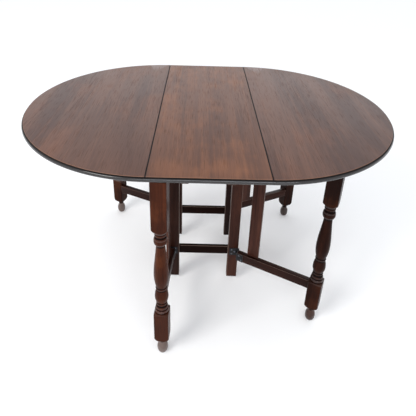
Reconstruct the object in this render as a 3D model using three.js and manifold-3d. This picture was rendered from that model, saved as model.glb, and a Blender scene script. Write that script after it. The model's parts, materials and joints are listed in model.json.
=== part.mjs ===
// Oval gate-leg table with two drop leaves: a narrow frame of four flat posts, four turned gate legs that
// swing out on iron hinges, and a top whose half-round leaves hang on rule joints.
// Millimetres, +Z up, origin on the floor under the middle of the top, +X across the leaves.
import * as THREE from 'three';
import { mergeVertices } from 'three/addons/utils/BufferGeometryUtils.js';
import Module from 'manifold-3d';

const wasm = await Module();
wasm.setup();

// ---- driving dimensions ----
const tableHeight = 740;
const topThickness = 16;
const centreWidth = 355; // between the two seams
const topLength = 995; // along the seams; the leaves are half discs of this diameter

const frameHalfWidth = 142; // outer faces of the posts, across
const frameHalfLength = 141.5; // outer faces of the posts, along
const postWidth = 42;
const postDepth = 25;
const postFloorGap = 18; // only the turned legs stand on the floor

const lowRailBottom = 137;
const crossRailHeight = 39;
const crossRailThickness = 13;
const topCrossRailHeight = 45;
const topCrossRailThickness = 20;
const sideRailHeight = 60;
const sideRailThickness = 20;
const bearerThickness = 22;
const bearerOffset = 69; // middle of each bearer from the centre line
const bearerEndInset = 65;

const legSquare = 49;
const legReach = 324; // hinge line to the leg's centre, along the gate
const legInset = 30; // how far the leg's centre stands inside the hinge line
const upperBlockBottom = 543;
const lowerBlockTop = 200;
const lowerBlockBottom = 72;
const gateRailHeight = 37;
const gateRailThickness = 20;
const stileStart = 44;
const stileWidth = 46;
const stileThickness = 8;
const gateOpening = { frontLeft: 5, frontRight: 62, rearLeft: 65, rearRight: 65 }; // degrees, as it stands
const openStop = 65; // where the blocks under the leaves stop a gate

const gap = 0.3; // clearance between pieces that meet
const tenonLength = 12;
const tenonShoulder = 5;
const crossTenonCheek = 3; // wood left on each face of a cross rail's tenon

// ---- small tools ----
const rad = THREE.MathUtils.degToRad;

function boxGeometry(x0, x1, y0, y1, z0, z1) {
  const made = new THREE.BoxGeometry(x1 - x0, y1 - y0, z1 - z0);
  return made.translate((x0 + x1) / 2, (y0 + y1) / 2, (z0 + z1) / 2);
}

function solid(geometry) {
  const bare = geometry.clone().deleteAttribute('normal').deleteAttribute('uv');
  const merged = mergeVertices(bare, 1e-4);
  return new wasm.Manifold(new wasm.Mesh({
    numProp: 3,
    vertProperties: merged.attributes.position.array,
    triVerts: new Uint32Array(merged.index.array),
  }));
}

const box = (...limits) => solid(boxGeometry(...limits));

// A round bar or turning about a vertical line, from [radius, height] points listed upwards.
function turning(profile, x, y, segments) {
  const points = profile.map(([r, z]) => new THREE.Vector2(r, z));
  return solid(new THREE.LatheGeometry(points, segments).rotateX(Math.PI / 2).translate(x, y, 0));
}

function uprightRod(radius, x, y, z0, z1, segments = 12) {
  return turning([[0, z0], [radius, z0], [radius, z1], [0, z1]], x, y, segments);
}

// A round bar along Y.
function lyingRod(radius, x, z, y0, y1, segments = 12) {
  const rod = new THREE.CylinderGeometry(radius, radius, y1 - y0, segments);
  return solid(rod.translate(x, (y0 + y1) / 2, z));
}

// A closed outline of [across, up] points, pushed out along Y or along X.
function outlineShape(points) {
  return new THREE.Shape(points.map(([across, up]) => new THREE.Vector2(across, up)));
}

function extrudeAlongY(points, y0, y1) {
  const bar = new THREE.ExtrudeGeometry(outlineShape(points), { depth: y1 - y0, bevelEnabled: false });
  return solid(bar.rotateX(Math.PI / 2).translate(0, y1, 0));
}

function extrudeAlongX(points, x0, x1) {
  const bar = new THREE.ExtrudeGeometry(outlineShape(points), { depth: x1 - x0, bevelEnabled: false });
  return solid(bar.rotateX(Math.PI / 2).rotateZ(Math.PI / 2).translate(x0, 0, 0));
}

function arc(cx, cy, radius, from, to, steps) {
  return Array.from({ length: steps + 1 }, (_, i) => {
    const a = rad(from + ((to - from) * i) / steps);
    return [cx + radius * Math.cos(a), cy + radius * Math.sin(a)];
  });
}

function mesh(name, body, material) {
  const made = body.getMesh();
  const geometry = new THREE.BufferGeometry();
  geometry.setAttribute('position', new THREE.BufferAttribute(new Float32Array(made.vertProperties), 3));
  geometry.setIndex(new THREE.BufferAttribute(new Uint32Array(made.triVerts), 1));
  const flat = geometry.toNonIndexed();
  flat.computeVertexNormals();
  const result = new THREE.Mesh(flat, material);
  result.name = name;
  return result;
}

const finish = (color, roughness, metalness = 0) =>
  new THREE.MeshStandardMaterial({ color, roughness, metalness });
const centreOak = finish(0x5a2f1c, 0.35);
const leafOak = finish(0x4a2a1e, 0.35);
const frameOak = finish(0x2a1712, 0.4);
const legOak = finish(0x33190f, 0.35);
const blackIron = finish(0x141414, 0.5, 0.8);

// ---- heights and lines that several pieces share ----
const underside = tableHeight - topThickness;
const frameTop = underside - gap;
const gateTop = underside - 0.5;
const seamX = centreWidth / 2;
const topRadius = topLength / 2;
const postInnerX = frameHalfWidth - postWidth;
const postInnerY = frameHalfLength - postDepth;
const postMiddleY = frameHalfLength - postDepth / 2;
const postMiddleX = frameHalfWidth - postWidth / 2;

const gateBarrel = {
  radius: 4, pin: 1.6, bore: 1.9, plate: 1.8, height: 36, middle: 15, knuckleGap: 0.4,
  knuckleRoom: 0.5, plateEdge: 6, returnLength: 26, // the plate starts plateEdge in from the post's inner edge
};
const gateAxisX = frameHalfWidth;
const gateRailStart = gateBarrel.radius + 1.2; // end of the rails, from the hinge line
const gateAxisY = frameHalfLength + gateBarrel.radius + gap;

// ---- the top ----
const rim = { step: 3.5, inset: 6, under: 4, arris: 0.8 };

// The moulded edge, from the underside outwards and up: a rounded foot, a swelling, a step and the top.
function rimProfile(reach) {
  const foot = arc(reach - rim.under, underside + rim.under, rim.under, -90, 0, 3);
  const swellBottom = underside + rim.under;
  const swellHeight = topThickness - rim.under - rim.step;
  const swell = [30, 60, 90].map((a) => [
    reach - rim.inset * (1 - Math.cos(rad(a))),
    swellBottom + swellHeight * Math.sin(rad(a)),
  ]);
  return [
    ...foot,
    ...swell,
    [reach - rim.inset, tableHeight - rim.arris],
    [reach - rim.inset - rim.arris, tableHeight],
  ];
}

const leafHinge = {
  width: 38, longFlap: 42, shortFlap: 30, flap: 1.8, radius: 3.2, pin: 1.4, bore: 1.7,
  middle: 14, knuckleGap: 0.4, notch: 5, flush: 0.2, fromEnd: 190,
  knuckleRoom: 0.5, swingRoom: 0.6, // over the barrel, and over the flap that turns under the round
};
const ruleJoint = { quirk: 3, seamGap: 0.8, coveGap: 0.5, steps: 6 };
const leafAxisZ = underside + leafHinge.flush + leafHinge.radius;
const ovolo = tableHeight - ruleJoint.quirk - leafAxisZ; // radius of the rule joint's round
const cove = ovolo + ruleJoint.coveGap;
const leafHingeY = topRadius - leafHinge.fromEnd;

// Room let into the undersides for one leaf hinge on the +X seam.
function hingePocket(y, x0, x1, top) {
  const half = leafHinge.width / 2 + gap;
  return box(seamX + x0, seamX + x1, y - half, y + half, underside - 1, leafAxisZ + top);
}

const flapTop = leafHinge.flap - leafHinge.radius; // above the hinge line
function boardHingeRoom(y) {
  const notch = leafHinge.notch + gap;
  const knuckles = hingePocket(y, -notch, notch, leafHinge.radius + leafHinge.knuckleRoom);
  const shortFlap = hingePocket(y, -leafHinge.shortFlap - gap, 0, flapTop + gap);
  const underRound = hingePocket(y, 0, ovolo + 1, flapTop + leafHinge.swingRoom);
  return knuckles.add(shortFlap).add(underRound);
}

function centreBoard() {
  const end = rimProfile(topRadius);
  const along = [...end, ...end.map(([r, z]) => [-r, z]).reverse()];
  const lowest = Math.asin((leafAxisZ - underside) / ovolo); // the round carries on below the hinge line
  const round = arc(seamX, leafAxisZ, ovolo, -THREE.MathUtils.radToDeg(lowest), 90, ruleJoint.steps);
  const side = [[round[0][0], underside - 1], ...round, [seamX, tableHeight + 1]];
  const across = [...side, ...side.map(([x, z]) => [-x, z]).reverse()];
  const wide = seamX + ovolo + 1;
  let board = extrudeAlongX(along, -wide, wide).intersect(extrudeAlongY(across, -topLength, topLength));
  for (const y of [-leafHingeY, leafHingeY]) {
    const room = boardHingeRoom(y);
    board = board.subtract(room).subtract(room.mirror([1, 0, 0]));
  }
  return board;
}

// The +X leaf: half of a turned disc, hollowed along its seam to roll over the board's round.
function leaf() {
  const disc = turning([[0, underside], ...rimProfile(topRadius), [0, tableHeight]], seamX, 0, 96);
  const start = THREE.MathUtils.radToDeg(Math.acos(ruleJoint.seamGap / cove));
  const hollow = arc(seamX, leafAxisZ, cove, 0, start, ruleJoint.steps);
  const far = seamX + topRadius + 10;
  const section = [
    [seamX + cove, underside - 1], [far, underside - 1], [far, tableHeight + 1],
    [seamX + ruleJoint.seamGap, tableHeight + 1], ...hollow.reverse(),
  ];
  let body = disc.intersect(extrudeAlongY(section, -topLength, topLength));
  for (const y of [-leafHingeY, leafHingeY]) {
    body = body.subtract(hingePocket(y, ovolo - 1, leafHinge.longFlap + gap, flapTop + gap));
  }
  return body;
}

function leafHingeParts(y) {
  const h = leafHinge;
  const half = h.width / 2;
  const inner = h.middle / 2;
  const flap = (x0, x1, y0, y1) =>
    box(seamX + x0, seamX + x1, y + y0, y + y1, leafAxisZ - h.radius, leafAxisZ + flapTop);
  const barrel = (radius, y0, y1) => lyingRod(radius, seamX, leafAxisZ, y + y0, y + y1);
  const fixed = flap(-h.shortFlap, 0, -half, half)
    .subtract(flap(-h.notch, 1, -inner - h.knuckleGap, inner + h.knuckleGap))
    .add(barrel(h.radius, -half, -inner - h.knuckleGap))
    .add(barrel(h.radius, inner + h.knuckleGap, half))
    .add(barrel(h.pin, -half, half));
  const moving = flap(0, h.longFlap, -half, half)
    .subtract(flap(-1, h.notch, -half - 1, -inner))
    .subtract(flap(-1, h.notch, inner, half + 1))
    .add(barrel(h.radius, -inner, inner))
    .subtract(barrel(h.bore, -half, half));
  return { fixed, moving };
}

// ---- the frame ----
const cut = (body, ...limits) => body.subtract(box(...limits));

// The +X +Y post, with mortises for the two cross rails and the top side rail.
function post() {
  let body = box(postInnerX, frameHalfWidth, postInnerY, frameHalfLength, postFloorGap, frameTop);
  const mortise = (bottom, height, thickness) => {
    const half = thickness / 2 - crossTenonCheek + gap;
    body = cut(body, postInnerX - 1, postInnerX + tenonLength + gap, postMiddleY - half, postMiddleY + half,
      bottom + tenonShoulder - gap, bottom + height - tenonShoulder + gap);
  };
  mortise(lowRailBottom, crossRailHeight, crossRailThickness);
  mortise(frameTop - topCrossRailHeight, topCrossRailHeight, topCrossRailThickness);
  const half = sideRailThickness / 2 - tenonShoulder + gap;
  return cut(body, postMiddleX - half, postMiddleX + half, postInnerY - 1, postInnerY + tenonLength + gap,
    frameTop - sideRailHeight + tenonShoulder - gap, frameTop - tenonShoulder + gap);
}

function crossRail(bottom, height, thickness) {
  const shoulder = postInnerX - gap;
  const tenon = postInnerX + tenonLength;
  const cheek = thickness / 2 - crossTenonCheek;
  const half = thickness / 2;
  return box(-shoulder, shoulder, postMiddleY - half, postMiddleY + half, bottom, bottom + height)
    .add(box(-tenon, tenon, postMiddleY - cheek, postMiddleY + cheek,
      bottom + tenonShoulder, bottom + height - tenonShoulder));
}

const halving = frameTop - topCrossRailHeight / 2;

function topCrossRail() {
  let rail = crossRail(frameTop - topCrossRailHeight, topCrossRailHeight, topCrossRailThickness);
  const room = bearerThickness / 2 + gap;
  for (const x of [-bearerOffset, bearerOffset]) {
    rail = cut(rail, x - room, x + room, 0, frameHalfLength, halving - gap / 2, frameTop + 1);
  }
  return rail;
}

function bearer() {
  const half = bearerThickness / 2;
  const end = topRadius - bearerEndInset;
  let bar = box(bearerOffset - half, bearerOffset + half, -end, end, frameTop - topCrossRailHeight, frameTop);
  const room = topCrossRailThickness / 2 + gap;
  for (const y of [-postMiddleY, postMiddleY]) {
    bar = cut(bar, 0, frameHalfWidth, y - room, y + room, 0, halving + gap / 2);
  }
  return bar;
}

function topSideRail() {
  const shoulder = postInnerY - gap;
  const tenon = postInnerY + tenonLength;
  const half = sideRailThickness / 2;
  const cheek = half - tenonShoulder;
  return box(postMiddleX - half, postMiddleX + half, -shoulder, shoulder, frameTop - sideRailHeight, frameTop)
    .add(box(postMiddleX - cheek, postMiddleX + cheek, -tenon, tenon,
      frameTop - sideRailHeight + tenonShoulder, frameTop - tenonShoulder));
}

// ---- one gate ----
// Drawn shut, for the +X +Y corner: the hinge line is at x = 0, y = 0, the gate runs along +Y and its
// inner side faces -X. The other corners are mirror images.
const railOuter = -(legInset - legSquare / 2);
const railInner = railOuter - gateRailThickness;
const legNear = legReach - legSquare / 2;
const lowGateRailTop = lowRailBottom + gateRailHeight;
const topGateRailBottom = gateTop - gateRailHeight;
const gateTenonCheek = 5;
const gateTenonStart = gateRailStart + 20; // inside the rail, so that the two boxes share no face
const cornerTurn = 14; // height over which a square's corners are turned away at its lower end
const shoulderTurn = 5; // and at the lower square's upper end

// The turned part of a leg, from the floor up.
const legProfile = [
  [0, 0], [11, 0], [15.5, 6], [18.5, 18], [18.5, 30], [16.5, 38], [12.5, 45], [11, 50], [12.5, 57], [17, 65],
  [22, 74],
  [22, 196], [22, 201], [23.4, 207], [21, 213.5], [20.5, 221], [17.5, 227], [16.5, 232], [18.5, 237],
  [16.8, 242], [19.5, 252], [22.5, 266], [21, 284], [17, 299], [19, 304.5], [17, 309], [20, 322], [24, 360],
  [22.5, 397], [18, 440], [14.8, 474], [14.5, 481], [17, 487], [21.7, 496], [21.7, 503], [16, 513], [16, 517],
  [18.5, 527], [19, 532], [20.5, 537], [21.5, 547], [0, 547],
];

function leg() {
  const half = legSquare / 2;
  const corner = half * Math.SQRT2 + 2;
  // A square length with its corners turned away at its lower end and, by an amount given, at its upper end.
  const square = (z0, z1, upperTurn) =>
    box(-legInset - half, -legInset + half, legReach - half, legReach + half, z0, z1).intersect(turning([
      [0, z0], [half, z0], [corner, z0 + cornerTurn],
      ...(upperTurn ? [[corner, z1 - upperTurn], [half, z1]] : [[corner, z1]]), [0, z1],
    ], -legInset, legReach, 12));
  let body = turning(legProfile, -legInset, legReach, 12)
    .add(square(lowerBlockBottom, lowerBlockTop, shoulderTurn))
    .add(square(upperBlockBottom, gateTop, 0));
  for (const bottom of [lowRailBottom, topGateRailBottom]) {
    body = cut(body, railInner + gateTenonCheek - gap, railOuter - gateTenonCheek + gap,
      legNear - 1, legNear + tenonLength + gap,
      bottom + tenonShoulder - gap, bottom + gateRailHeight - tenonShoulder + gap);
  }
  return body;
}

const stileOuter = railOuter;
const stileInner = stileOuter - stileThickness;
const stileTenonCheek = 1.5;

function gateRail(bottom, stileSide) {
  const top = bottom + gateRailHeight;
  const bar = box(railInner, railOuter, gateRailStart, legNear - gap, bottom, top)
    .add(box(railInner + gateTenonCheek, railOuter - gateTenonCheek, gateTenonStart, legNear + tenonLength,
      bottom + tenonShoulder, top - tenonShoulder));
  const depth = tenonLength + gap;
  const [z0, z1] = stileSide > 0 ? [top - depth, top + 1] : [bottom - 1, bottom + depth];
  return cut(bar, stileInner + stileTenonCheek - gap, stileOuter - stileTenonCheek + gap,
    stileStart + tenonShoulder - gap, stileStart + stileWidth - tenonShoulder + gap, z0, z1);
}

function stile() {
  return box(stileInner, stileOuter, stileStart, stileStart + stileWidth,
    lowGateRailTop + gap, topGateRailBottom - gap)
    .add(box(stileInner + stileTenonCheek, stileOuter - stileTenonCheek,
      stileStart + tenonShoulder, stileStart + stileWidth - tenonShoulder,
      lowGateRailTop - tenonLength, topGateRailBottom + tenonLength));
}

// An iron butt hinge with its pin upright: one plate lies on the post's end face, the other crosses the
// end of the gate's rail and returns along its inner face.
function gateHingeParts(middleZ) {
  const h = gateBarrel;
  const half = h.height / 2;
  const inner = h.middle / 2;
  const barrel = (radius, z0, z1) => uprightRod(radius, 0, 0, middleZ + z0, middleZ + z1);
  const face = frameHalfLength - gateAxisY + gap; // near side of the post plate
  const notch = h.radius + h.knuckleRoom;
  const plateStart = postInnerX - gateAxisX + h.plateEdge;
  const fixed = box(plateStart, 0, face, face + h.plate, middleZ - half, middleZ + half)
    .subtract(box(-notch, 1, face - 1, face + h.plate + 1,
      middleZ - inner - h.knuckleGap, middleZ + inner + h.knuckleGap))
    .add(barrel(h.radius, -half, -inner - h.knuckleGap))
    .add(barrel(h.radius, inner + h.knuckleGap, half))
    .add(barrel(h.pin, -half, half));
  const far = railInner - gap - h.plate;
  const moving = box(far, 0, gateRailStart - gap - h.plate, gateRailStart - gap, middleZ - half, middleZ + half)
    .subtract(box(-notch, 1, 0, gateRailStart, middleZ - half - 1, middleZ - inner))
    .subtract(box(-notch, 1, 0, gateRailStart, middleZ + inner, middleZ + half + 1))
    .add(box(far, far + h.plate, gateRailStart - gap - h.plate, gateRailStart + h.returnLength,
      middleZ - half, middleZ + half))
    .add(barrel(h.radius, -inner, inner))
    .subtract(barrel(h.bore, -half, half));
  return { fixed, moving };
}

// A block under the leaf that a gate meets when it is fully open, drawn in the gate's own shut position.
const leafStop = { clearance: 0.4, width: 18, length: 60, height: 12, fromLeg: 50 };
function stopBlock() {
  const near = railOuter + leafStop.clearance;
  const end = legReach - leafStop.fromLeg;
  return box(near, near + leafStop.width, end - leafStop.length, end,
    underside - gap - leafStop.height, underside - gap);
}

// ---- assembly ----
const table = new THREE.Group();
table.name = 'drop_leaf_table';

table.add(mesh('centre_board', centreBoard(), centreOak));

const leafBody = leaf();
for (const [side, sx] of [['left', -1], ['right', 1]]) {
  const half = new THREE.Group();
  half.scale.set(sx, 1, 1);
  half.add(mesh(`${side}_leaf`, leafBody, leafOak));
  for (const [end, y] of [['front', -leafHingeY], ['rear', leafHingeY]]) {
    const { fixed, moving } = leafHingeParts(y);
    half.add(mesh(`${side}_leaf_hinge_${end}_board_flap`, fixed, blackIron));
    half.add(mesh(`${side}_leaf_hinge_${end}_leaf_flap`, moving, blackIron));
  }
  half.add(mesh(`${side}_top_side_rail`, topSideRail(), frameOak));
  half.add(mesh(`${side}_bearer`, bearer(), frameOak));
  table.add(half);
}

for (const [end, sy] of [['front', -1], ['rear', 1]]) {
  const half = new THREE.Group();
  half.scale.set(1, sy, 1);
  const lowRail = crossRail(lowRailBottom, crossRailHeight, crossRailThickness);
  half.add(mesh(`${end}_low_cross_rail`, lowRail, frameOak));
  half.add(mesh(`${end}_top_cross_rail`, topCrossRail(), frameOak));
  table.add(half);
}

const corners = [
  ['front_left', -1, -1, gateOpening.frontLeft],
  ['front_right', 1, -1, gateOpening.frontRight],
  ['rear_left', -1, 1, gateOpening.rearLeft],
  ['rear_right', 1, 1, gateOpening.rearRight],
];
const hinges = {
  low: gateHingeParts(lowRailBottom + gateRailHeight / 2),
  top: gateHingeParts(topGateRailBottom + gateRailHeight / 2),
};

for (const [name, sx, sy, opening] of corners) {
  const corner = new THREE.Group();
  corner.scale.set(sx, sy, 1);
  corner.add(mesh(`${name}_post`, post(), frameOak));

  const hingeLine = new THREE.Group();
  hingeLine.position.set(gateAxisX, gateAxisY, 0);
  hingeLine.add(mesh(`${name}_low_hinge_post_plate`, hinges.low.fixed, blackIron));
  hingeLine.add(mesh(`${name}_top_hinge_post_plate`, hinges.top.fixed, blackIron));

  const gate = new THREE.Group();
  gate.rotation.z = -rad(opening);
  gate.add(mesh(`${name}_leg`, leg(), legOak));
  gate.add(mesh(`${name}_low_rail`, gateRail(lowRailBottom, 1), frameOak));
  gate.add(mesh(`${name}_top_rail`, gateRail(topGateRailBottom, -1), frameOak));
  gate.add(mesh(`${name}_stile`, stile(), frameOak));
  gate.add(mesh(`${name}_low_hinge_gate_plate`, hinges.low.moving, blackIron));
  gate.add(mesh(`${name}_top_hinge_gate_plate`, hinges.top.moving, blackIron));

  const stop = new THREE.Group();
  stop.rotation.z = -rad(openStop);
  stop.add(mesh(`${name}_leaf_stop`, stopBlock(), frameOak));

  hingeLine.add(gate, stop);
  corner.add(hingeLine);
  table.add(corner);
}

export default table;
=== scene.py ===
# Oval drop leaf table on four turned gate legs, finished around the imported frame.
# Metres, +Z up, front towards -Y. Sizes in the dictionaries are millimetres unless they say otherwise.
import json
import math

import bmesh
import bpy
from mathutils import Matrix, Vector


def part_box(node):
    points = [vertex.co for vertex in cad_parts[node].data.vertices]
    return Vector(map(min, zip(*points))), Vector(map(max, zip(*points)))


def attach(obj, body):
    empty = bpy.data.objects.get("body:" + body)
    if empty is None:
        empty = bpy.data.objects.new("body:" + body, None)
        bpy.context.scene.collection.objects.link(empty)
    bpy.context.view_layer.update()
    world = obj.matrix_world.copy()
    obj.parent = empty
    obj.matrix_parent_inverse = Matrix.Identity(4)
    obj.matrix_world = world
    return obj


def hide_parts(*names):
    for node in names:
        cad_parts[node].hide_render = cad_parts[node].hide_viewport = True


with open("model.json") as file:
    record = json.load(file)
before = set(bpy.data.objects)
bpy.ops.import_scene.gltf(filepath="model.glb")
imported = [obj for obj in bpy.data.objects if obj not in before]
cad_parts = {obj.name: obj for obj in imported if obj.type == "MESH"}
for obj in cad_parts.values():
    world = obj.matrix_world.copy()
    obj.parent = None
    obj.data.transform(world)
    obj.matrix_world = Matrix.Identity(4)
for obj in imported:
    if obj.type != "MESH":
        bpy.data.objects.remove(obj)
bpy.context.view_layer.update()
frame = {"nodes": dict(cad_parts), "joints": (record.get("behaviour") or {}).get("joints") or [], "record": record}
mm = 0.001
bodyOf = {node: body for body, members in frame["record"]["behaviour"]["bodies"].items() for node in members}
corners = {"front_left": (-1, -1), "front_right": (1, -1), "rear_left": (-1, 1), "rear_right": (1, 1)}
gateOpening = {"front_left": 5, "front_right": 62, "rear_left": 65, "rear_right": 65}  # degrees from shut


class Field:  # one output that can be used in sums
    def __init__(self, maker, socket):
        self.maker = maker
        self.socket = socket

    def math(self, operation, *values, clamp=False):
        settings = {"operation": operation, "use_clamp": clamp}
        return self.maker.node("ShaderNodeMath", settings, dict(enumerate(values)))

    def __add__(self, other):
        return self.math("ADD", self, other)

    def __radd__(self, other):
        return self.math("ADD", other, self)

    def __sub__(self, other):
        return self.math("SUBTRACT", self, other)

    def __rsub__(self, other):
        return self.math("SUBTRACT", other, self)

    def __mul__(self, other):
        return self.math("MULTIPLY", self, other)

    def __rmul__(self, other):
        return self.math("MULTIPLY", other, self)

    def __truediv__(self, other):
        return self.math("DIVIDE", self, other)

    def __abs__(self):
        return self.math("ABSOLUTE", self)

    def least(self, other):
        return self.math("MINIMUM", self, other)

    def most(self, other):
        return self.math("MAXIMUM", self, other)

    def also(self, output):  # another output of the same node
        return Field(self.maker, self.socket.node.outputs[output])


class Maker:  # adds nodes to one tree
    def __init__(self, tree):
        self.tree = tree

    def node(self, kind, settings=None, sockets=None, output=0):
        made = self.tree.nodes.new(kind)
        for key, value in (settings or {}).items():
            if key == "stops":
                while len(made.color_ramp.elements) < len(value):
                    made.color_ramp.elements.new(1)
                for element, (place, colour) in zip(made.color_ramp.elements, value):
                    element.position, element.color = place, (*colour, 1)
            else:
                setattr(made, key, value)
        for key, value in (sockets or {}).items():
            if isinstance(value, Field):
                self.tree.links.new(value.socket, made.inputs[key])
            else:
                made.inputs[key].default_value = value
        return Field(self, made.outputs[output]) if len(made.outputs) else made

    def fade(self, value, low, high):  # 0 at low, 1 at high, eased
        return self.node("ShaderNodeMapRange", {"interpolation_type": "SMOOTHSTEP"},
                         {"Value": value, "From Min": low, "From Max": high})

    def mix(self, factor, first, second, blend="MIX"):  # colours
        return self.node("ShaderNodeMix", {"data_type": "RGBA", "blend_type": blend},
                         {0: factor, 6: colour4(first), 7: colour4(second)}, 2)

    def noise(self, vector, stretch, detail=3, roughness=0.5, distortion=0):
        drawn = self.node("ShaderNodeVectorMath", {"operation": "MULTIPLY"}, {0: vector, 1: stretch})
        return self.node("ShaderNodeTexNoise", {}, {"Vector": drawn, "Scale": 1, "Detail": detail,
                                                   "Roughness": roughness, "Distortion": distortion})


def colour4(value):
    return value if isinstance(value, Field) else (*value, 1)


def startFinish(name):
    made = bpy.data.materials.new(name)
    made.use_nodes = True
    made.node_tree.nodes.clear()
    return made, Maker(made.node_tree)


def endFinish(maker, sockets):
    shader = maker.node("ShaderNodeBsdfPrincipled", {}, sockets)
    maker.node("ShaderNodeOutputMaterial", {}, {"Surface": shader})


viewpoint = {
    "place": (-0.0335, -1.4670, 1.3831), "pitch": 25.54, "yaw": 0.231, "roll": 1.509,  # metres, degrees
    "lens": 36.352, "shift": (0.0191, -0.2115),
}


def makeCamera():
    pitch, yaw, roll = (math.radians(viewpoint[key]) for key in ("pitch", "yaw", "roll"))
    ahead = Vector((math.sin(yaw) * math.cos(pitch), math.cos(yaw) * math.cos(pitch), -math.sin(pitch)))
    level = Vector((math.cos(yaw), -math.sin(yaw), 0))
    upright = level.cross(ahead)
    right = level * math.cos(roll) + upright * math.sin(roll)
    up = upright * math.cos(roll) - level * math.sin(roll)
    camera = bpy.data.objects.new("camera", bpy.data.cameras.new("camera"))
    camera.data.lens = viewpoint["lens"]
    camera.data.sensor_width = 36
    camera.data.shift_x, camera.data.shift_y = viewpoint["shift"]
    camera.matrix_world = Matrix.Translation(viewpoint["place"]) @ Matrix((right, up, -ahead)).transposed().to_4x4()
    bpy.context.scene.collection.objects.link(camera)
    bpy.context.scene.camera = camera


studio = {
    "sky": (0.95, 0.97, 1.0), "skyStrength": 0.97,
    "rearGlow": 1.1, "glowSpread": (0.3, 0.9), "glowTop": (0.26, 0.52),  # the sky is brighter low behind
    "floorColour": (0.98, 0.98, 0.98), "floorRadius": 30,
    "lamps": {  # place and aim in metres, size, watts, colour
        "keyLamp": ((-2.6, -2.6, 3.2), (0, 0, 0.5), (1.6, 1.6), 95, (1.0, 0.985, 0.96)),
        "frontLamp": ((0.3, -3.6, 2.0), (0, 0, 0.4), (3.2, 0.5), 42, (0.90, 0.94, 1.0)),
    },
}


def makeStudio():
    world = bpy.data.worlds.new("studio")
    world.use_nodes = True
    world.node_tree.nodes.clear()
    maker = Maker(world.node_tree)
    way = maker.node("ShaderNodeSeparateXYZ", {}, {"Vector": maker.node("ShaderNodeTexCoord")})
    behind = maker.fade(way.also(1), *studio["glowSpread"]) * (1 - maker.fade(way.also(2), *studio["glowTop"]))
    strength = studio["skyStrength"] + studio["rearGlow"] * behind
    glow = maker.node("ShaderNodeBackground", {}, {"Color": (*studio["sky"], 1), "Strength": strength})
    maker.node("ShaderNodeOutputWorld", {}, {"Surface": glow})
    bpy.context.scene.world = world
    bpy.context.scene.view_settings.view_transform = "Standard"
    for name, (place, aim, size, watts, colour) in studio["lamps"].items():
        lamp = bpy.data.lights.new(name, "AREA")
        lamp.shape, lamp.size, lamp.size_y = "RECTANGLE", *size
        lamp.energy, lamp.color = watts, colour
        holder = bpy.data.objects.new(name, lamp)
        holder.location = place
        holder.rotation_euler = (Vector(aim) - Vector(place)).to_track_quat("-Z", "Y").to_euler()
        bpy.context.scene.collection.objects.link(holder)
    plate = bmesh.new()
    bmesh.ops.create_circle(plate, cap_ends=True, segments=96, radius=studio["floorRadius"])
    floor = pieceFrom("floor", plate, 1)
    made, maker = startFinish("floorPaint")
    place = maker.node("ShaderNodeTexCoord", {}, {}, "Object")
    speck = maker.noise(place, (3, 3, 3))
    endFinish(maker, {"Base Color": (*studio["floorColour"], 1), "Roughness": 0.75 + 0.1 * speck,
                      "Specular IOR Level": 0.2})
    floor.data.materials.append(made)


def pieceFrom(name, built, scale=mm):
    built.transform(Matrix.Scale(scale, 4))
    bmesh.ops.recalc_face_normals(built, faces=built.faces)
    data = bpy.data.meshes.new(name)
    built.to_mesh(data)
    built.free()
    piece = bpy.data.objects.new(name, data)
    bpy.context.scene.collection.objects.link(piece)
    return piece


def settle(piece):  # modifiers become plain mesh
    graph = bpy.context.evaluated_depsgraph_get()
    data = bpy.data.meshes.new_from_object(piece.evaluated_get(graph))
    piece.modifiers.clear()
    piece.data = data


def carve(piece, tool, operation):
    cutter = piece.modifiers.new("carve", "BOOLEAN")
    cutter.object, cutter.operation, cutter.solver = tool, operation, "EXACT"
    settle(piece)
    bpy.data.objects.remove(tool)


def smoothOver(data, degrees, flatArea=1.0):  # smooth, with hard edges at sharp turns and round large flat faces
    built = bmesh.new()
    built.from_mesh(data)
    for face in built.faces:
        face.smooth = True
    for edge in built.edges:
        shallow = len(edge.link_faces) == 2 and edge.calc_face_angle(0) < math.radians(degrees)
        edge.smooth = shallow and all(face.calc_area() < flatArea for face in edge.link_faces)
    built.to_mesh(data)
    built.free()


def arc(across, up, radius, start, end, steps):
    angles = [math.radians(start + (end - start) * i / steps) for i in range(steps + 1)]
    return [(across + radius * math.cos(a), up + radius * math.sin(a)) for a in angles]


def prism(name, outline, low, high, along):  # an outline of (across, up) pushed out along x or y
    built = bmesh.new()
    place = (lambda p, t: (t, p[0], p[1])) if along == "x" else (lambda p, t: (p[0], t, p[1]))
    first = [built.verts.new(place(p, low)) for p in outline]
    last = [built.verts.new(place(p, high)) for p in outline]
    built.faces.new(first)
    built.faces.new(last)
    for i in range(len(outline)):
        j = (i + 1) % len(outline)
        built.faces.new((first[i], first[j], last[j], last[i]))
    return pieceFrom(name, built)


def turnedDisc(name, section, centreX, steps):  # section of (radius, up), closed flat at both ends
    built = bmesh.new()
    rings = []
    for radius, up in section:
        turns = [2 * math.pi * i / steps for i in range(steps)]
        rings.append([built.verts.new((centreX + radius * math.cos(a), radius * math.sin(a), up)) for a in turns])
    built.faces.new(rings[0])
    built.faces.new(rings[-1])
    for lower, upper in zip(rings, rings[1:]):
        for i in range(steps):
            j = (i + 1) % steps
            built.faces.new((lower[i], lower[j], upper[j], upper[i]))
    return pieceFrom(name, built)


def block(name, x, y, z):
    built = bmesh.new()
    bmesh.ops.create_cube(built, size=1)
    for vert in built.verts:
        vert.co = Vector(((x[0] if vert.co.x < 0 else x[1]), (y[0] if vert.co.y < 0 else y[1]),
                          (z[0] if vert.co.z < 0 else z[1])))
    return pieceFrom(name, built)


def dress(piece, finish, slot, body, *replaced):
    piece.data.materials.clear()
    piece.data.materials.append(finish)
    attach(piece, body)
    if replaced:
        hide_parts(*replaced)


upright = (math.radians(90), 0, 0)  # turns a pattern that runs along Y to run along Z


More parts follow.
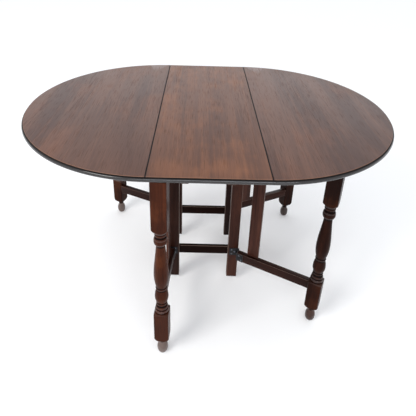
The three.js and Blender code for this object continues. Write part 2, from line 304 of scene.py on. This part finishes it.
def oak(name, look, turn=(0, 0, 0), extra=None):  # extra holds a piece's own stain, seam dirt with painted shade on the rim, and gloss
    extra = extra or {}
    made, maker = startFinish(name)
    here = maker.node("ShaderNodeTexCoord", {}, {}, "Object")
    wood = maker.node("ShaderNodeMapping", {}, {"Vector": here, "Location": look["offset"], "Rotation": turn})
    drift = maker.noise(wood, (5, 1.2, 5), 2)
    bent = maker.node("ShaderNodeVectorMath", {"operation": "SCALE"}, {0: drift.also(1), 3: look["wander"]})
    wood = maker.node("ShaderNodeVectorMath", {"operation": "ADD"}, {0: wood, 1: bent})
    broad = maker.noise(wood, (9, 0.8, 9), 3, 0.55)
    streak = maker.noise(wood, (75, 1.6, 75), 4, 0.6)
    fine = maker.noise(wood, (330, 5, 330), 3, 0.6)
    poreNoise = maker.noise(wood, (560, 16, 560), 2, 0.5)
    cloud = maker.noise(here, (6, 4, 6), 4, 0.6)
    pores = maker.fade(poreNoise + 0.35 * (streak - 0.5), 0.54, 0.66)
    tone = maker.fade(0.6 * broad + 0.25 * streak + 0.15 * fine, 0.36, 0.64)
    colour = maker.mix(tone, look["dark"], look["light"])
    warm = maker.fade(cloud + 0.3 * (streak - 0.5), 0.45, 0.72) * look["warmth"]
    if "warm" in extra:
        warm = (warm + extra["warm"](maker, here, cloud, streak)).least(1)
    colour = maker.mix(warm, colour, look["warm"])
    colour = maker.mix(pores * look["poreDepth"], colour, look["pore"])
    # positive values of this attribute are rubbed wear, partly a painted highlight on arrises; negative values are
    # painted shade in grooves
    rubbed = maker.node("ShaderNodeAttribute", {"attribute_name": "wear"}, {}, "Fac")
    worn = maker.fade(rubbed + 0.9 * (cloud - 0.5), 0.35, 0.95) * look["wearAmount"]
    colour = maker.mix(worn, colour, look["worn"])
    # painted shade: negative values, in the legs' grooves and rings, darken towards the recess colour
    deep = maker.fade(0 - rubbed, 0.02, 0.45) * 0.95
    if "deep" in extra:
        deep = (deep + extra["deep"](maker, here)).least(1)
    colour = maker.mix(deep, colour, look["recess"])
    height = 0.5 * streak + 0.35 * fine - 0.8 * pores
    bump = maker.node("ShaderNodeBump", {}, {"Strength": look["bump"], "Distance": 0.0004, "Height": height})
    rough = look["roughness"] + 0.14 * (cloud - 0.5) + 0.16 * pores + 0.1 * worn + 0.35 * deep
    coat = 0
    if "gloss" in extra:
        coat = extra["gloss"](maker, here)
    elif look["coat"]:  # on the crests of the turning, and not on its squares
        square = maker.node("ShaderNodeAttribute", {"attribute_name": "square"}, {}, "Fac")
        coat = (1 - square) * maker.fade(rubbed, 0.02, 0.2) * look["coat"]
    endFinish(maker, {"Base Color": colour, "Roughness": rough, "Specular IOR Level": look["specular"],
                      "Coat Weight": coat, "Coat Roughness": 0.14,
                      "Normal": bump})
    return made


topLook = {
    "dark": (0.060, 0.019, 0.009), "light": (0.134, 0.050, 0.023), "warm": (0.22, 0.078, 0.028),
    "pore": (0.028, 0.010, 0.006), "worn": (0.34, 0.18, 0.11), "recess": (0.004, 0.002, 0.002),
    "warmth": 0.55, "poreDepth": 0.22, "wearAmount": 0.5, "wander": 0.006, "bump": 0.15, "coat": 0,
    "roughness": 0.38, "specular": 0.27, "offset": (0, 0, 0),
}
leafLook = dict(topLook, dark=(0.052, 0.019, 0.012), light=(0.118, 0.051, 0.031), warm=(0.19, 0.072, 0.036),
                warmth=0.3, offset=(1.7, 0.9, 0.3))
frameLook = {
    "dark": (0.018, 0.0055, 0.0038), "light": (0.050, 0.0165, 0.0105), "warm": (0.088, 0.030, 0.016),
    "pore": (0.006, 0.003, 0.003), "worn": (0.24, 0.17, 0.14), "recess": (0.004, 0.0025, 0.0025),
    "warmth": 0.35, "poreDepth": 0.45, "wearAmount": 0.6, "wander": 0.006, "bump": 0.25, "coat": 0,
    "roughness": 0.36, "specular": 0.08, "offset": (0.4, 2.1, 0.8),
}
legLook = dict(frameLook, dark=(0.024, 0.0055, 0.0028), light=(0.088, 0.023, 0.0095), warm=(0.19, 0.054, 0.018),
               worn=(0.15, 0.110, 0.096), warmth=0.5, roughness=0.3, specular=0.05, wearAmount=0.75, coat=0.7)
legShadeAndBareFoot = {  # how dark each leg's colours are painted, as painted shade for the shade it stands in, and how bare its foot is
    "front_left": (0.62, 0.9), "front_right": (0.34, 0.2), "rear_left": (0.4, 0.95), "rear_right": (0.35, 0.6),
}


def darkenedLook(look, amount):  # the same look with every stain colour scaled; painted shade on the shaded posts, cross rails and legs, and the darker gate rails
    return dict(look, **{key: tuple(amount * c for c in look[key]) for key in ("dark", "light", "warm", "pore")})


top = {
    "step": 3.5, "inset": 6, "under": 4, "arris": 1.0,  # moulded rim
    "quirk": 3, "seamGap": 0.8, "coveGap": 0.5, "seamArris": 0.6,  # rule joint
    "rimTurns": 288, "curveSteps": 14, "flatArea": 0.01,  # square metres
    "flapTop": 1.4, "flapGap": 0.3, "swingRoom": 0.6, "barrelRoom": (5.3, 3.7),  # hinge sinkings
    "wornSpots": [((-0.115, -0.452), 0.07, 0.35), ((0.072, -0.445), 0.10, 0.35), ((0.02, -0.30), 0.26, 0.08),
                  ((-0.02, 0.10), 0.30, 0.10)],  # where, how wide, how strong, in metres
}
boardLow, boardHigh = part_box("centre_board")
leafLow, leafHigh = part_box("right_leaf")
seamX = leafLow.x / mm - top["seamGap"]
underside, surface = boardLow.z / mm, boardHigh.z / mm
reach = boardHigh.y / mm
ovolo = boardHigh.x / mm - seamX
hingeLineZ = surface - top["quirk"] - ovolo


def rimSection():  # from the underside out and up: a rounded foot, a swelling, a step and the top
    foot = arc(reach - top["under"], underside + top["under"], top["under"], -90, 0, 6)
    low, high = underside + top["under"], surface - underside - top["under"] - top["step"]
    swell = [(reach - top["inset"] * (1 - math.cos(math.radians(a))), low + high * math.sin(math.radians(a)))
             for a in range(9, 91, 9)]
    edge = arc(reach - top["inset"] - top["arris"], surface - top["arris"], top["arris"], 0, 90, 4)
    return foot + swell + edge


def hingeRoom(piece, part):  # lets the leaf hinges into the underside
    for end in ("front", "rear"):
        low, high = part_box(f"right_leaf_hinge_{end}_{part}_flap")
        loose = top["flapGap"]
        y = (low.y / mm - loose, high.y / mm + loose)
        flapTop = hingeLineZ - top["flapTop"]
        notch, barrelTop = top["barrelRoom"]
        if part == "board":
            rooms = [((low.x / mm - loose, seamX), flapTop + loose),
                     ((seamX - notch, seamX + notch), hingeLineZ + barrelTop),
                     ((seamX, seamX + ovolo + 1), flapTop + top["swingRoom"])]
        else:
            rooms = [((seamX + ovolo - 1, high.x / mm + loose), flapTop + loose)]
        for (x0, x1), roof in rooms:
            carve(piece, block("room", (x0, x1), y, (underside - 1, roof)), "DIFFERENCE")
            if part == "board":
                carve(piece, block("room", (-x1, -x0), y, (underside - 1, roof)), "DIFFERENCE")


def markArris(piece):  # the rubbed edges round the top
    wear = piece.data.attributes.new("wear", "FLOAT", "FACE")
    for face in piece.data.polygons:
        centre = face.center / mm
        onEdge = centre.z > surface - top["arris"] and 0.1 < face.normal.z < 0.97
        outer = math.hypot(max(abs(centre.x) - seamX, 0), centre.y) > reach - 12
        wear.data[face.index].value = 1 if onEdge and outer else 0


def seamCorner(x, inward):  # a small round where the surface meets the seam
    r = top["seamArris"]
    start = 0 if inward > 0 else 180
    return arc(x - inward * r, surface - r, r, start, 90, 3)


def makeCentreBoard():
    rim = rimSection()
    steps = top["curveSteps"]
    wide = seamX + ovolo + 1
    board = prism("centreBoard", rim + [(-a, z) for a, z in reversed(rim)], -wide, wide, "x")
    lowest = math.degrees(math.asin((hingeLineZ - underside) / ovolo))
    side = [(seamX + ovolo * math.cos(math.radians(lowest)), underside - 1)]
    side += arc(seamX, hingeLineZ, ovolo, -lowest, 90, steps) + seamCorner(seamX, 1)
    side = side[:-1] + [(seamX - top["seamArris"], surface)]
    outline = side + [(-x, z) for x, z in reversed(side)]
    carve(board, prism("side", outline, -reach - 9, reach + 9, "y"), "INTERSECT")
    hingeRoom(board, "board")
    return board


def makeLeaf():
    rim = rimSection()
    leaf = turnedDisc("rightLeaf", rim, seamX, top["rimTurns"])
    cove = ovolo + top["coveGap"]
    start = math.degrees(math.acos(top["seamGap"] / cove))
    r = top["seamArris"]
    hollow = arc(seamX, hingeLineZ, cove, start, 0, top["curveSteps"])
    corner = arc(seamX + top["seamGap"] + r, surface - r, r, 90, 180, 3)
    far = seamX + reach + 10
    outline = [(far, underside - 1), (far, surface), *corner, *hollow, (seamX + cove, underside - 1)]
    carve(leaf, prism("section", outline, -reach - 9, reach + 9, "y"), "INTERSECT")
    hingeRoom(leaf, "leaf")
    return leaf


def mirrored(piece, name, flip):
    built = bmesh.new()
    built.from_mesh(piece.data)
    built.transform(Matrix.Diagonal((*flip, 1)))
    if flip[0] * flip[1] < 0:
        bmesh.ops.reverse_faces(built, faces=built.faces)
    data = bpy.data.meshes.new(name)
    built.to_mesh(data)
    built.free()
    other = bpy.data.objects.new(name, data)
    bpy.context.scene.collection.objects.link(other)
    return other


def rubbedSpots(maker, here, cloud, streak):
    total = 0
    for (x, y), radius, strength in top["wornSpots"]:
        away = maker.node("ShaderNodeVectorMath", {"operation": "DISTANCE"}, {0: here, 1: (x, y, surface * mm)}, 1)
        spot = (1 - maker.fade(away + 0.12 * (cloud - 0.5), radius * 0.15, radius)) * strength
        total = spot * (0.6 + 0.8 * streak) + total
    return total


def rimDistance(maker, here):  # from the seam's middle outwards, the distance across, and the height
    parts = maker.node("ShaderNodeSeparateXYZ", {}, {"Vector": here})
    across, along, up = parts, parts.also(1), parts.also(2)
    outward = (abs(across) - seamX * mm).most(0)
    total = outward * outward + along * along
    return total.math("SQRT", total), abs(across), up


def seamDirtAndRimShade(maker, here):  # dark dirt along the seams; painted shade in the step of the rim and on its swelling
    far, across, up = rimDistance(maker, here)
    seam = 1 - maker.fade(abs(across - seamX * mm), 0.0013, 0.0030)
    lowered = 1 - maker.fade(up, (surface - 1.6) * mm, (surface - 0.7) * mm)
    # painted shade: the rim's step and the swelling below it are coloured near black
    step = maker.fade(far, (reach - 7.2) * mm, (reach - 6.6) * mm) * lowered
    belly = maker.fade(far, (reach - 5.4) * mm, (reach - 4.4) * mm) * 0.95 * lowered
    return (seam + step).most(belly).least(1)


def rimGloss(maker, here):  # the rounded lower edge is rubbed to a shine
    far, across, up = rimDistance(maker, here)
    edge = maker.fade(far, (reach - 6) * mm, (reach - 4) * mm)
    return edge * (1 - maker.fade(up, (underside + 10) * mm, (underside + 11.5) * mm))


def makeTop():
    boardOak = oak("centreBoardOak", topLook, extra={"warm": rubbedSpots, "deep": seamDirtAndRimShade, "gloss": rimGloss})
    leafOak = oak("leafOak", leafLook, extra={"deep": seamDirtAndRimShade, "gloss": rimGloss})
    board = makeCentreBoard()
    right = makeLeaf()
    left = mirrored(right, "leftLeaf", (-1, 1, 1))
    for piece, finish, slot, body, node in ((board, boardOak, "centre_board_oak", "frame", "centre_board"),
                                            (left, leafOak, "leaf_oak", "left_leaf", "left_leaf"),
                                            (right, leafOak, "leaf_oak", "right_leaf", "right_leaf")):
        smoothOver(piece.data, 24, top["flatArea"])
        markArris(piece)
        dress(piece, finish, slot, body, node)


softening = {"arris": 1.3, "arrisSteps": 2, "iron": 0.35}


def softened(node, name, width, steps):  # a copy of a part with rubbed arrises, their pale colour partly a painted highlight
    built = bmesh.new()
    built.from_mesh(frame["nodes"][node].data)
    bmesh.ops.remove_doubles(built, verts=built.verts, dist=2e-6)
    bmesh.ops.dissolve_limit(built, angle_limit=math.radians(0.5), verts=built.verts, edges=built.edges)
    piece = pieceFrom(name, built, 1)
    piece.data.materials.append(None)
    piece.data.materials.append(None)
    for face in piece.data.polygons:
        face.use_smooth = True
    bevel = piece.modifiers.new("arrises", "BEVEL")
    bevel.width, bevel.segments = width * mm, steps
    bevel.limit_method, bevel.angle_limit = "ANGLE", math.radians(40)
    bevel.material, bevel.harden_normals = 1, True
    settle(piece)
    # bevel faces get the pale arris colour: rubbed wear, and partly a painted highlight
    wear = piece.data.attributes.new("wear", "FLOAT", "FACE")
    for face in piece.data.polygons:
        wear.data[face.index].value = float(face.material_index)
        face.material_index = 0
    return piece


def camel(node):
    first, *rest = node.split("_")
    return first + "".join(word.capitalize() for word in rest)


def makeStraightWood():
    alongX, alongY = (0, 0, math.radians(90)), (0, 0, 0)
    postOak = oak("postOak", frameLook, upright)
    # painted shade: three posts, and the cross rails and leaf stops, get darker copies of the frame's colours for
    # the shade they stand in
    shadedPostOak = oak("shadedPostOak", darkenedLook(frameLook, 0.4), upright)
    shadedCrossOak = oak("crossRailOak", dict(darkenedLook(frameLook, 0.2), offset=(1.1, 0.2, 0.5), specular=0.03), alongX)
    sideOak = oak("sideRailOak", dict(frameLook, offset=(2.3, 1.2, 0.1)), alongY)
    stileOak = oak("stileOak", dict(frameLook, light=(0.074, 0.027, 0.018), offset=(0.9, 1.4, 0.2)), upright)
    gateOak = {}
    for name, (sx, sy) in corners.items():
        opening = math.radians(gateOpening[name])
        heading = math.atan2(sy * math.cos(opening), sx * math.sin(opening))
        gateOak[name] = oak(camel(name) + "RailOak", dict(darkenedLook(frameLook, 0.75), offset=(0.3, 0.1, 0.7)),
                            (0, 0, math.pi / 2 - heading))
    finishes = {"front_right_post": postOak, "post": shadedPostOak, "stile": stileOak, "cross_rail": shadedCrossOak,
                "side_rail": sideOak, "bearer": sideOak, "leaf_stop": shadedCrossOak}
    for node in sorted(bodyOf):
        finish = next((finishes[end] for end in finishes if node.endswith(end)), None)
        gate = next((name for name in corners if node in (name + "_low_rail", name + "_top_rail")), None)
        if gate:
            finish = gateOak[gate]
        if finish and "hinge" not in node:
            piece = softened(node, camel(node), softening["arris"], softening["arrisSteps"])
            dress(piece, finish, "frame_oak", bodyOf[node], node)


leg = {
    "square": 49, "arris": 1.5, "faceStep": 8, "ringPoints": 128,
    "lowerTurn": 14, "upperTurn": 5,  # height over which a block's corners are turned away
    "lowBlock": (72, 200), "highBlock": (543, 723.5), "crestWear": 0.4,
    "foot": [(0, 11), (1.2, 13.2), (6, 15.8), (12, 17.8), (18, 18.5), (28, 18.4), (35, 17), (41, 14.6), (46, 12.2),
             (50, 11)],
    "ankle": [(50.6, 11), (54, 11.6), (58, 13.2), (63, 16.4), (68, 19.8), (72, 22.4)],
    "ringed": [(200, 242), (299, 309), (481, 543)],  # painted shade: darker between the beads
    "neck": [(228, 17.2), (230, 16.7), (232, 16.5), (233.6, 16.8)],
    "bulb": [(242, 16.6), (247, 18.2), (254, 20.7), (261, 22.2), (267, 22.5), (276, 21.9), (285, 20.8), (293, 18.7),
             (299.6, 16.8)],
    "vase": [(309, 17), (314, 18.2), (322, 20), (333, 22), (346, 23.5), (361, 24), (378, 23.5), (397, 22.4),
             (418, 20.3), (440, 18), (458, 16.1), (474, 14.8), (482, 14.4)],
    "waist": [(514, 15.9), (517.5, 15.9)],
}


def throughPoints(points, step=1.6):  # a smooth line through (height, radius) points
    line = []
    for i in range(len(points) - 1):
        before, a, b, after = points[max(i - 1, 0)], points[i], points[i + 1], points[min(i + 2, len(points) - 1)]
        count = max(1, round((b[0] - a[0]) / step))
        for k in range(count):
            t = k / count
            slopeA = (b[1] - before[1]) / max(b[0] - before[0], 0.1) * (b[0] - a[0])
            slopeB = (after[1] - a[1]) / max(after[0] - a[0], 0.1) * (b[0] - a[0])
            radius = ((2 * t**3 - 3 * t**2 + 1) * a[1] + (t**3 - 2 * t**2 + t) * slopeA
                      + (3 * t**2 - 2 * t**3) * b[1] + (t**3 - t**2) * slopeB)
            line.append((a[0] + (b[0] - a[0]) * t, radius))
    return line + [points[-1]]


def bead(low, high, foot, crest, steps=10):  # a half round ring
    turns = [math.radians(180 * i / steps) for i in range(steps + 1)]
    return [((low + high) / 2 - (high - low) / 2 * math.cos(a), foot + (crest - foot) * math.sin(a)) for a in turns]


def squareLength(low, high, upperTurn):  # a square length, its corners turned away at one or both ends
    half = leg["square"] / 2
    widest = half * math.sqrt(2) - leg["arris"]
    lowerTurn = leg["lowerTurn"]
    heights = [low + i for i in range(lowerTurn + 1)]
    heights += list(range(low + lowerTurn + leg["faceStep"], int(high) - upperTurn, leg["faceStep"]))
    heights += [high - i for i in range(upperTurn, -1, -1)]
    line = []
    for height in heights:
        near = min((height - low) / lowerTurn, (high - height) / upperTurn if upperTurn else 1)
        near = min(max(near, 0), 1)
        line.append((height, half - 0.4 + (widest - half + 0.4) * math.sqrt(1 - (1 - near) ** 2)))
    return line


def legLine():  # (height, radius, square) up the whole leg
    turned = throughPoints(leg["foot"]) + throughPoints(leg["ankle"])
    line = [(z, r, 0) for z, r in turned[:-1]]
    line += [(z, r, 1) for z, r in squareLength(*leg["lowBlock"], leg["upperTurn"])]
    turned = bead(200.8, 214, 19.8, 23.4) + bead(214.5, 227, 17.8, 20.6) + throughPoints(leg["neck"])
    turned += bead(234, 241, 16.8, 18.6) + throughPoints(leg["bulb"]) + bead(300.6, 308.4, 16.9, 19.1)
    turned += throughPoints(leg["vase"]) + [(484, 16.6), (486.4, 17)] + bead(487, 513, 17.2, 21.7, 14)
    turned += leg["waist"] + bead(519, 530.5, 16.4, 18.8) + bead(531.2, 541, 17.8, 20.7) + [(541.6, 19.8)]
    line += [(z, r, 0) for z, r in turned]
    line += [(z, r, 1) for z, r in squareLength(*leg["highBlock"], 0)]
    spread = []
    for z, r, square in line:  # no two points at one height
        spread.append((max(z, spread[-1][0] + 0.05) if spread else z, r, square))
    return spread


def legWearAndShade(line, bareFoot):  # crests are rubbed; grooves are painted shade
    values = []
    low, high = leg["lowBlock"]
    for z, r, square in line:
        if square:
            shoulder = z < high + 1 and high - z < 7
            values.append(0.5 if shoulder else (0.25 if z - low < 4 else 0))
        elif z < 52:
            values.append(bareFoot)
        else:
            near = [q[1] for q in line if abs(q[0] - z) < 7 and not q[2]]
            crest = (r - sum(near) / len(near)) / 1.7
            ringed = any(start < z < end for start, end in leg["ringed"])
            values.append(max(-1, min(1, crest)) * (leg["crestWear"] if crest > 0 else 1) - 0.12 * ringed)
    return values


def legTree():
    tree = bpy.data.node_groups.new("turnedLeg", "GeometryNodeTree")
    face = tree.interface
    face.new_socket("Geometry", in_out="INPUT", socket_type="NodeSocketGeometry")
    for name, kind in (("Ring points", "Int"), ("Half square", "Float"), ("Foot place", "Vector"),
                       ("Turn", "Vector"), ("Finish", "Material")):
        face.new_socket(name, in_out="INPUT", socket_type="NodeSocket" + kind)
    face.new_socket("Geometry", in_out="OUTPUT", socket_type="NodeSocketGeometry")
    maker = Maker(tree)
    given = maker.node("NodeGroupInput")
    value = lambda name: given.also(name)
    named = lambda name: maker.node("GeometryNodeInputNamedAttribute", {"data_type": "FLOAT"}, {"Name": name})
    line = maker.node("GeometryNodeMeshToCurve", {}, {"Mesh": value("Geometry")})
    ring = maker.node("GeometryNodeCurvePrimitiveCircle", {}, {"Resolution": value("Ring points"), "Radius": 1})
    skin = maker.node("GeometryNodeCurveToMesh", {}, {"Curve": line, "Profile Curve": ring,
                                                         "Scale": named("turnRadius"), "Fill Caps": True})
    parts = maker.node("ShaderNodeSeparateXYZ", {}, {"Vector": maker.node("GeometryNodeInputPosition")})
    x, y, z = parts, parts.also(1), parts.also(2)
    out = (x * x + y * y).most(1e-10)
    out = out.math("SQRT", out)
    flat = value("Half square") / abs(x).most(abs(y)).most(1e-6)
    shrink = 1 - named("square") * (1 - flat.least(1))
    moved = maker.node("ShaderNodeCombineXYZ", {}, {"X": x * shrink, "Y": y * shrink, "Z": z})
    skin = maker.node("GeometryNodeSetPosition", {}, {"Geometry": skin, "Position": moved})
    skin = maker.node("GeometryNodeTransform", {}, {"Geometry": skin, "Translation": value("Foot place"),
                                                    "Rotation": value("Turn")})
    skin = maker.node("GeometryNodeRealizeInstances", {}, {"Geometry": skin})
    skin = maker.node("GeometryNodeSetMaterial", {}, {"Geometry": skin, "Material": value("Finish")})
    maker.node("NodeGroupOutput", {}, {"Geometry": skin})
    return tree


def setInputs(modifier, values):
    for item in modifier.node_group.interface.items_tree:
        if item.item_type == "SOCKET" and item.in_out == "INPUT" and item.name in values:
            modifier[item.identifier] = values[item.name]


def growTree(piece, tree, values):  # runs a node tree on a piece and keeps the plain mesh
    modifier = piece.modifiers.new("grow", "NODES")
    modifier.node_group = tree
    setInputs(modifier, values)
    settle(piece)


def makeLegs():
    tree = legTree()
    line = legLine()
    for name, (sx, sy) in corners.items():
        low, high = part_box(name + "_leg")
        # the first value darkens this leg's colours: painted shade, not a different stain
        paintedShade, bareFoot = legShadeAndBareFoot[name]
        wear = legWearAndShade(line, bareFoot)
        look = dict(darkenedLook(legLook, paintedShade), offset=(0.6 + sx * 0.2, 0.4 + sy * 0.3, 0.9))
        finish = oak(camel(name) + "LegOak", look, upright)
        data = bpy.data.meshes.new(camel(name) + "Leg")
        data.from_pydata([(0, 0, z * mm) for z, r, square in line], [(i, i + 1) for i in range(len(line) - 1)], [])
        for key, column in (("turnRadius", [r * mm for z, r, square in line]),
                            ("square", [float(square) for z, r, square in line]), ("wear", wear)):
            data.attributes.new(key, "FLOAT", "POINT").data.foreach_set("value", column)
        piece = bpy.data.objects.new(camel(name) + "Leg", data)
        bpy.context.scene.collection.objects.link(piece)
        turn = -sx * sy * math.radians(gateOpening[name])
        growTree(piece, tree, {"Ring points": leg["ringPoints"], "Half square": leg["square"] / 2 * mm,
                               "Foot place": ((low.x + high.x) / 2, (low.y + high.y) / 2, 0), "Turn": (0, 0, turn),
                               "Finish": finish})
        smoothOver(piece.data, 38)
        dress(piece, finish, "turned_oak", bodyOf[name + "_leg"], name + "_leg")


iron = {"colour": (0.012, 0.012, 0.014), "rust": (0.035, 0.020, 0.014), "rubbed": (0.20, 0.20, 0.21)}
screw = {
    "radius": 3.9, "crown": 1.1, "slotWidth": 0.9, "slotDepth": 1.3, "seed": 7,
    "postFace": -2.2, "gateFace": -27.6,  # faces of a gate hinge's plates, from the hinge line
    "onPost": [(-27, 10), (-27, -10), (-15, 0)], "onGate": [(14, 10), (24, -10)],  # along the plate, up
    "onBoard": [(-22, 12), (-22, -12), (-13, 0)],  # from the seam, along it
    "onLeaf": [(34, 12), (34, -12), (19, 0)],
}


def ironFinish():
    made, maker = startFinish("blackIron")
    here = maker.node("ShaderNodeTexCoord", {}, {}, "Object")
    scale = maker.noise(here, (140, 140, 140), 4, 0.65)
    cloud = maker.noise(here, (30, 30, 30), 3)
    rubbed = maker.node("ShaderNodeAttribute", {"attribute_name": "wear"}, {}, "Fac")
    # bare metal on the bevelled edges: rubbed wear, and partly a painted highlight
    bright = maker.fade(rubbed + 0.8 * (cloud - 0.5), 0.4, 0.9) * 0.8
    colour = maker.mix(maker.fade(scale, 0.5, 0.75) * 0.6, iron["colour"], iron["rust"])
    colour = maker.mix(bright, colour, iron["rubbed"])
    bump = maker.node("ShaderNodeBump", {}, {"Strength": 0.35, "Distance": 0.0003, "Height": scale})
    endFinish(maker, {"Base Color": colour, "Metallic": 0.55 + 0.4 * bright, "Roughness": 0.34 + 0.25 * scale,
                      "Specular IOR Level": 0.4, "Normal": bump})
    return made


def steelFinish():
    made, maker = startFinish("screwSteel")
    here = maker.node("ShaderNodeTexCoord", {}, {}, "Object")
    grime = maker.noise(here, (260, 260, 260), 3, 0.6)
    colour = maker.mix(maker.fade(grime, 0.45, 0.7), (0.15, 0.16, 0.185), (0.04, 0.036, 0.034))
    endFinish(maker, {"Base Color": colour, "Metallic": 1.0, "Roughness": 0.42 + 0.3 * grime})
    return made


def screwTree():
    tree = bpy.data.node_groups.new("screwHeads", "GeometryNodeTree")
    face = tree.interface
    face.new_socket("Geometry", in_out="INPUT", socket_type="NodeSocketGeometry")
    for name, kind in (("Head radius", "Float"), ("Crown", "Float"), ("Slot width", "Float"),
                       ("Slot depth", "Float"), ("Seed", "Int"), ("Finish", "Material")):
        face.new_socket(name, in_out="INPUT", socket_type="NodeSocket" + kind)
    face.new_socket("Geometry", in_out="OUTPUT", socket_type="NodeSocketGeometry")
    maker = Maker(tree)
    given = maker.node("NodeGroupInput")
    value = lambda name: given.also(name)
    ball = maker.node("GeometryNodeMeshUVSphere", {}, {"Segments": 24, "Rings": 12, "Radius": 1})
    size = maker.node("ShaderNodeCombineXYZ", {}, {"X": value("Head radius"), "Y": value("Head radius"),
                                                   "Z": value("Crown")})
    ball = maker.node("GeometryNodeTransform", {}, {"Geometry": ball, "Scale": size})
    slotSize = maker.node("ShaderNodeCombineXYZ", {}, {"X": value("Head radius") * 3, "Y": value("Slot width"),
                                                       "Z": value("Slot depth")})
    slot = maker.node("GeometryNodeMeshCube", {}, {"Size": slotSize})
    lift = maker.node("ShaderNodeCombineXYZ", {}, {"Z": value("Crown")})
    slot = maker.node("GeometryNodeTransform", {}, {"Geometry": slot, "Translation": lift})
    head = maker.node("GeometryNodeMeshBoolean", {"operation": "DIFFERENCE", "solver": "EXACT"},
                      {"Mesh 1": ball, "Mesh 2": slot})
    facing = maker.node("GeometryNodeInputNamedAttribute", {"data_type": "FLOAT_VECTOR"}, {"Name": "facing"})
    lean = maker.node("FunctionNodeAlignRotationToVector", {"axis": "Z"}, {"Vector": facing})
    spin = maker.node("FunctionNodeRandomValue", {"data_type": "FLOAT"},
                      {2: 0.0, 3: 3.14, "Seed": value("Seed")}, 1)
    spun = maker.node("ShaderNodeCombineXYZ", {}, {"Z": spin})
    turn = maker.node("FunctionNodeEulerToRotation", {}, {"Euler": spun})
    both = maker.node("FunctionNodeRotateRotation", {"rotation_space": "LOCAL"},
                      {"Rotation": lean, "Rotate By": turn})
    many = maker.node("GeometryNodeInstanceOnPoints", {}, {"Points": value("Geometry"), "Instance": head,
                                                           "Rotation": both})
    many = maker.node("GeometryNodeRealizeInstances", {}, {"Geometry": many})
    many = maker.node("GeometryNodeSetMaterial", {}, {"Geometry": many, "Material": value("Finish")})
    maker.node("NodeGroupOutput", {}, {"Geometry": many})
    return tree


def screwSpots():  # body -> list of (place in metres, facing)
    spots = {}
    axes = {joint["name"]: joint for joint in frame["joints"]}
    for name, (sx, sy) in corners.items():
        joint = axes[name + "_gate_swing"]
        hinge = Vector(joint["pos_m"])
        opening = -math.radians(gateOpening[name])
        swing = Matrix.Rotation(opening, 3, "Z")
        flip = Matrix.Diagonal((sx, sy, 1))
        for level in ("low", "top"):
            low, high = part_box(f"{name}_{level}_hinge_post_plate")
            z = (low.z + high.z) / 2
            for x, dz in screw["onPost"]:
                place = flip @ Vector((x * mm, screw["postFace"] * mm, 0))
                spots.setdefault("frame", []).append((Vector((hinge.x + place.x, hinge.y + place.y, z + dz * mm)),
                                                      flip @ Vector((0, 1, 0))))
            for y, dz in screw["onGate"]:
                place = flip @ (swing @ Vector((screw["gateFace"] * mm, y * mm, 0)))
                spots.setdefault(bodyOf[name + "_leg"], []).append(
                    (Vector((hinge.x + place.x, hinge.y + place.y, z + dz * mm)),
                     flip @ (swing @ Vector((-1, 0, 0)))))
    for side, sx in (("left", -1), ("right", 1)):
        for end in ("front", "rear"):
            low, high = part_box(f"{side}_leaf_hinge_{end}_board_flap")
            y = (low.y + high.y) / 2
            for body, places in (("frame", screw["onBoard"]), (side + "_leaf", screw["onLeaf"])):
                for across, along in places:
                    place = Vector((sx * (seamX + across) * mm, y + along * mm, low.z))
                    spots.setdefault(body, []).append((place, Vector((0, 0, -1))))
    return spots


def makeIron():
    blackIron, steel = ironFinish(), steelFinish()
    for node in sorted(bodyOf):
        if "hinge" in node:
            piece = softened(node, camel(node), softening["iron"], 2)
            smoothOver(piece.data, 35)
            dress(piece, blackIron, "iron", bodyOf[node], node)
    tree = screwTree()
    for body, spots in screwSpots().items():
        data = bpy.data.meshes.new(camel(body) + "Screws")
        data.from_pydata([place for place, facing in spots], [], [])
        column = [n for place, facing in spots for n in facing]
        data.attributes.new("facing", "FLOAT_VECTOR", "POINT").data.foreach_set("vector", column)
        piece = bpy.data.objects.new(camel(body) + "Screws", data)
        bpy.context.scene.collection.objects.link(piece)
        growTree(piece, tree, {"Head radius": screw["radius"] * mm, "Crown": screw["crown"] * mm,
                               "Slot width": screw["slotWidth"] * mm, "Slot depth": screw["slotDepth"] * mm,
                               "Seed": screw["seed"], "Finish": steel})
        smoothOver(piece.data, 35)
        dress(piece, steel, "iron", body)


makeCamera()
makeStudio()
print("camera and studio ready")
makeTop()
print("top boards ready")
makeStraightWood()
print("posts and rails ready")
makeLegs()
print("turned legs ready")
makeIron()
print("hinges and screws ready")
